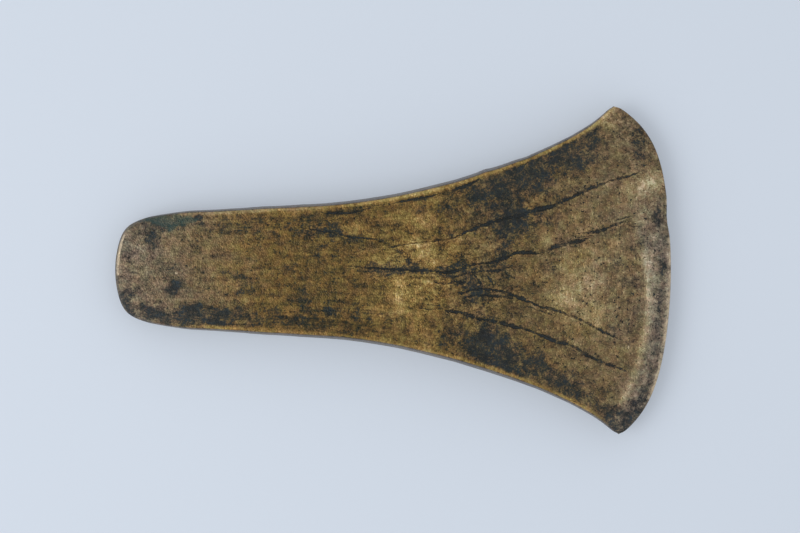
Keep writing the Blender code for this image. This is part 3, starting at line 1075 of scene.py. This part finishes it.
# The material's noises: size across in metres, finer layers and how rough they are, and a shift
# in metres that keeps a noise apart from the others
Noise = namedtuple("Noise", "size layers roughness shift")
COARSE = Noise(0.0028, 3, 0.95, 0.0)
GRIT = Noise(0.00034, 0, 0.55, 0.0)
SPECKS = Noise(0.0024, 4, 0.90, 0.37)
PEPPER = Noise(0.00070, 2, 0.60, 0.53)
STREAKS = Noise(0.0016, 3, 0.85, 0.0)
SCRATCHES = Noise(0.00036, 1, 0.50, 0.0)
HUE = Noise(0.0036, 5, 0.90, 0.71)
REDNESS = Noise(0.0022, 3, 0.80, 0.87)
WOBBLE = Noise(0.0010, 3, 0.85, 0.19)
STRANDS = Noise(0.0010, 3, 0.85, 0.0)
BREAKS = Noise(0.0032, 3, 0.80, 0.05)
# How much streaks, crack strands and scratches are drawn out along their run
STREAKS_SHRUNK = 0.10
STRANDS_SHRUNK = 0.22
SCRATCHES_SHRUNK = 0.08
BUMP_DISTANCE = 0.00014

# Colours by level, from the darkest patina to bare metal
COOL_STOPS = (
    (0.00, srgb(28, 31, 31)),
    (0.15, srgb(50, 49, 45)),
    (0.30, srgb(78, 72, 66)),
    (0.45, srgb(104, 96, 86)),
    (0.60, srgb(130, 120, 106)),
    (0.80, srgb(164, 152, 134)),
    (1.00, srgb(210, 198, 178)),
)
WARM_STOPS = (
    (0.00, srgb(26, 30, 28)),
    (0.15, srgb(48, 48, 34)),
    (0.30, srgb(86, 70, 42)),
    (0.45, srgb(121, 98, 55)),
    (0.60, srgb(147, 122, 71)),
    (0.80, srgb(176, 152, 96)),
    (1.00, srgb(214, 194, 146)),
)
BLUISH_COLOUR = srgb(44, 55, 63)
GREEN_COLOUR = srgb(46, 72, 68)
# Bare metal, also the colour of the painted highlights on the rims and of the glint at the nick
BARE_AND_HIGHLIGHT_COLOUR = srgb(222, 200, 168)
# The side walls' grey: a painted reflection of the pale floor
WALL_REFLECTION_COLOUR = srgb(120, 114, 113)
REDDISH_TINT = (1.08, 0.95, 0.92, 1.0)
OLIVE_TINT = (0.94, 1.02, 0.97, 1.0)


def cracks(n, name, wobble, strands):
    """1 inside a group's cracks, with ragged sides, and 1 on the lip on their right, where a
    painted highlight goes.

    Gaps and widths are in millimetres.
    """
    width = n.share(name + "_width")
    gap = n.plus(n.share(name + "_gap"), wobble)
    there = n.ramp(width, 0.03, 0.10)
    span = n.math("MAXIMUM", width, 0.05)
    ratio = n.plus(n.math("DIVIDE", n.math("ABSOLUTE", gap), span), strands)
    inside = n.times(n.ramp(ratio, 0.30, 1.40, 1.0, 0.0), there)
    beside = n.math("ABSOLUTE", n.plus(gap, n.plus(span, 0.16)))
    return inside, n.times(n.ramp(beside, 0.05, 0.30, 1.0, 0.0), there)


def all_cracks(n):
    """1 inside the cracks of both groups, broken up in places, and 1 on their lips, where a
    painted highlight goes.
    """
    wobble = n.times(n.swell(WOBBLE), 0.36)
    strands = n.times(n.swell(STRANDS, n.flow(STRANDS_SHRUNK)), 0.85)
    inside, lip_highlight = cracks(n, "crack", wobble, strands)
    fine_inside, fine_lip_highlight = cracks(n, "fine_crack", wobble, strands)
    crack = n.math("MAXIMUM", inside, n.times(fine_inside, 0.8))
    crack = n.times(crack, n.ramp(n.swell(BREAKS), -0.50, 0.10, 0.38, 1.0))
    return crack, n.math("MAXIMUM", lip_highlight, fine_lip_highlight)


def surface_colour(n, level, specks):
    """The patina's colour by its level, with the bluish and green parts, the bare metal and
    painted highlights, and the walls' painted reflection over it.
    """
    hue = n.swell(HUE)
    warm = n.total((n.share("warm"), 1.0), (hue, 0.25))
    colour = n.mix(warm, n.levels(level, COOL_STOPS), n.levels(level, WARM_STOPS))
    bluish = n.times(n.ramp(level, 0.08, 0.34, 1.0, 0.0), n.ramp(hue, -0.3, 0.6))
    bluish = n.times(bluish, n.total((n.share("warm"), -0.62), rest=1.0))
    colour = n.mix(bluish, colour, BLUISH_COLOUR)
    red = n.total((n.swell(REDNESS), 1.0), (hue, 0.6))
    tint = n.mix(n.ramp(red, -0.7, 0.7), REDDISH_TINT, OLIVE_TINT)
    colour = n.mix(1.0, colour, tint, "MULTIPLY")
    green = n.ramp(n.total((n.share("green"), 1.0), (specks, 0.5)), 0.25, 0.85, 0.0, 0.6)
    colour = n.mix(green, colour, GREEN_COLOUR)
    # Bare metal and painted highlights: pale specks, the glint at the nick, the cutting edge and
    # the butt end's rim
    bare_and_highlight = n.ramp(n.total((n.share("bare_and_highlight"), 1.0), (specks, 0.45)), 0.30, 0.95, 0.0, 0.8)
    colour = n.mix(bare_and_highlight, colour, BARE_AND_HIGHLIGHT_COLOUR)
    # The walls take the painted reflection of the floor
    wall = n.ramp(n.total((n.share("wall"), 1.0), (specks, 0.35)), 0.35, 1.05, 0.0, 0.50)
    return n.mix(wall, colour, WALL_REFLECTION_COLOUR)


def bronze():
    n = Nodes("aged_bronze")
    coarse, grit, specks = n.swell(COARSE), n.swell(GRIT), n.swell(SPECKS)
    streaks = n.times(n.swell(STREAKS, n.flow(STREAKS_SHRUNK)), n.share("streaky"))
    scratch = n.swell(SCRATCHES, n.by_edge(SCRATCHES_SHRUNK))
    scratch = n.times(scratch, n.share("scratched"))
    pepper = n.ramp(n.swell(PEPPER), 0.46, 0.72)
    pepper = n.times(pepper, n.total((n.share("scratched"), 0.22), rest=0.24))
    # The dark share holds patina clots and painted shade in the flanges' feet and on the bevel
    clots_and_shade = n.ramp(n.total((n.share("dark"), 1.0), (specks, 0.50)), 0.12, 1.05)
    crack, lip_highlight = all_cracks(n)

    texture = n.total((coarse, 0.275), (grit, 0.065), (streaks, 0.18), (scratch, 0.07))
    level = n.plus(n.share("tone"), n.times(n.share("grain"), texture))
    # The cracks' lips get a painted highlight
    level = n.total((level, 1.0), (clots_and_shade, -0.32), (pepper, -1.0), (crack, -0.39), (lip_highlight, 0.07))
    n.plug(n.shader.inputs["Base Color"], surface_colour(n, level, specks))

    covered_and_shaded = n.math("MAXIMUM", clots_and_shade, crack)
    n.plug(n.shader.inputs["Roughness"], n.total((covered_and_shaded, 0.18), (coarse, 0.12), rest=0.38))
    n.plug(n.shader.inputs["Metallic"], n.total((covered_and_shaded, -0.40), rest=0.85))

    bump = n.add("ShaderNodeBump")
    height = n.total((coarse, 1.0), (grit, 0.30), (clots_and_shade, -0.5), (crack, -1.5), (scratch, 0.3))
    n.plug(bump.inputs["Height"], height)
    bump.inputs["Distance"].default_value = BUMP_DISTANCE
    bump.inputs["Strength"].default_value = 1.0
    n.plug(n.shader.inputs["Normal"], bump.outputs[0])
    return n.material


# Share of the floor's brightness that is its own, as on a light table, so that shade stays faint
FLOOR_GLOW = 0.27


def floor_material():
    n = Nodes("pale_floor")
    pale = srgb(212, 220, 231)
    n.shader.inputs["Base Color"].default_value = (*[c * (1 - FLOOR_GLOW) for c in pale[:3]], 1.0)
    n.shader.inputs["Emission Color"].default_value = pale
    n.shader.inputs["Emission Strength"].default_value = FLOOR_GLOW
    n.shader.inputs["Roughness"].default_value = 0.7
    n.shader.inputs["Specular IOR Level"].default_value = 0.2
    return n.material


# -- Studio

CAMERA_AT = Vector((0.00175, 0.00091, 0.805))
CAMERA_LENS = 142.9
CAMERA_SENSOR = 36.0
CAMERA_CLIP = (0.05, 20)
FLOOR_SIZE = 6.0
LIGHT_AT = Vector((-0.42, -0.12, 0.50))
LIGHT_SIZE = 0.50
LIGHT_WATTS = 1.2
LIGHT_COLOUR = (1.0, 0.985, 0.96)
# The light tent's brightness by how high it is seen: sine of the height, then brightness
TENT = ((0.0, 0.75), (0.12, 0.95), (0.35, 1.30), (0.65, 0.85), (1.0, 0.55))
TENT_COLOUR = (0.94, 0.968, 1.0)
TENT_STRENGTH = 0.925


def floor():
    mesh = bpy.data.meshes.new("floor")
    half = FLOOR_SIZE / 2
    corners = [(-half, -half, 0), (half, -half, 0), (half, half, 0), (-half, half, 0)]
    mesh.from_pydata(corners, [], [(0, 1, 2, 3)])
    mesh.materials.append(floor_material())
    ground = bpy.data.objects.new("floor", mesh)
    bpy.context.scene.collection.objects.link(ground)


def camera():
    data = bpy.data.cameras.new("camera")
    data.lens = CAMERA_LENS
    data.sensor_width = CAMERA_SENSOR
    data.clip_start, data.clip_end = CAMERA_CLIP
    made = bpy.data.objects.new("camera", data)
    made.location = CAMERA_AT
    bpy.context.scene.collection.objects.link(made)
    bpy.context.scene.camera = made


def soft_light():
    data = bpy.data.lights.new("left_light", "AREA")
    data.shape = "DISK"
    data.size = LIGHT_SIZE
    data.energy = LIGHT_WATTS
    data.color = LIGHT_COLOUR
    made = bpy.data.objects.new("left_light", data)
    made.location = LIGHT_AT
    made.rotation_euler = (-LIGHT_AT).to_track_quat("-Z", "Y").to_euler()
    made.visible_camera = False
    bpy.context.scene.collection.objects.link(made)


def world():
    made = bpy.data.worlds.new("studio")
    made.use_nodes = True
    tree = made.node_tree
    direction = tree.nodes.new("ShaderNodeTexCoord").outputs["Generated"]
    split = tree.nodes.new("ShaderNodeSeparateXYZ")
    tree.links.new(direction, split.inputs[0])
    ramp = tree.nodes.new("ShaderNodeValToRGB")
    tree.links.new(split.outputs["Z"], ramp.inputs[0])
    stops = [(at, (*[bright * c for c in TENT_COLOUR], 1.0)) for at, bright in TENT]
    set_stops(ramp.color_ramp, stops)
    tree.links.new(ramp.outputs[0], tree.nodes["Background"].inputs["Color"])
    tree.nodes["Background"].inputs["Strength"].default_value = TENT_STRENGTH
    bpy.context.scene.world = made


def main():
    material = bronze()
    mesh = axe_mesh()
    mesh.materials.append(material)
    axe = bpy.data.objects.new("axe_head_bronze", mesh)
    bpy.context.scene.collection.objects.link(axe)
    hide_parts(SOLID)
    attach(axe, "root")
    floor()
    camera()
    world()
    soft_light()
    bpy.context.scene.view_settings.view_transform = "Standard"


main()
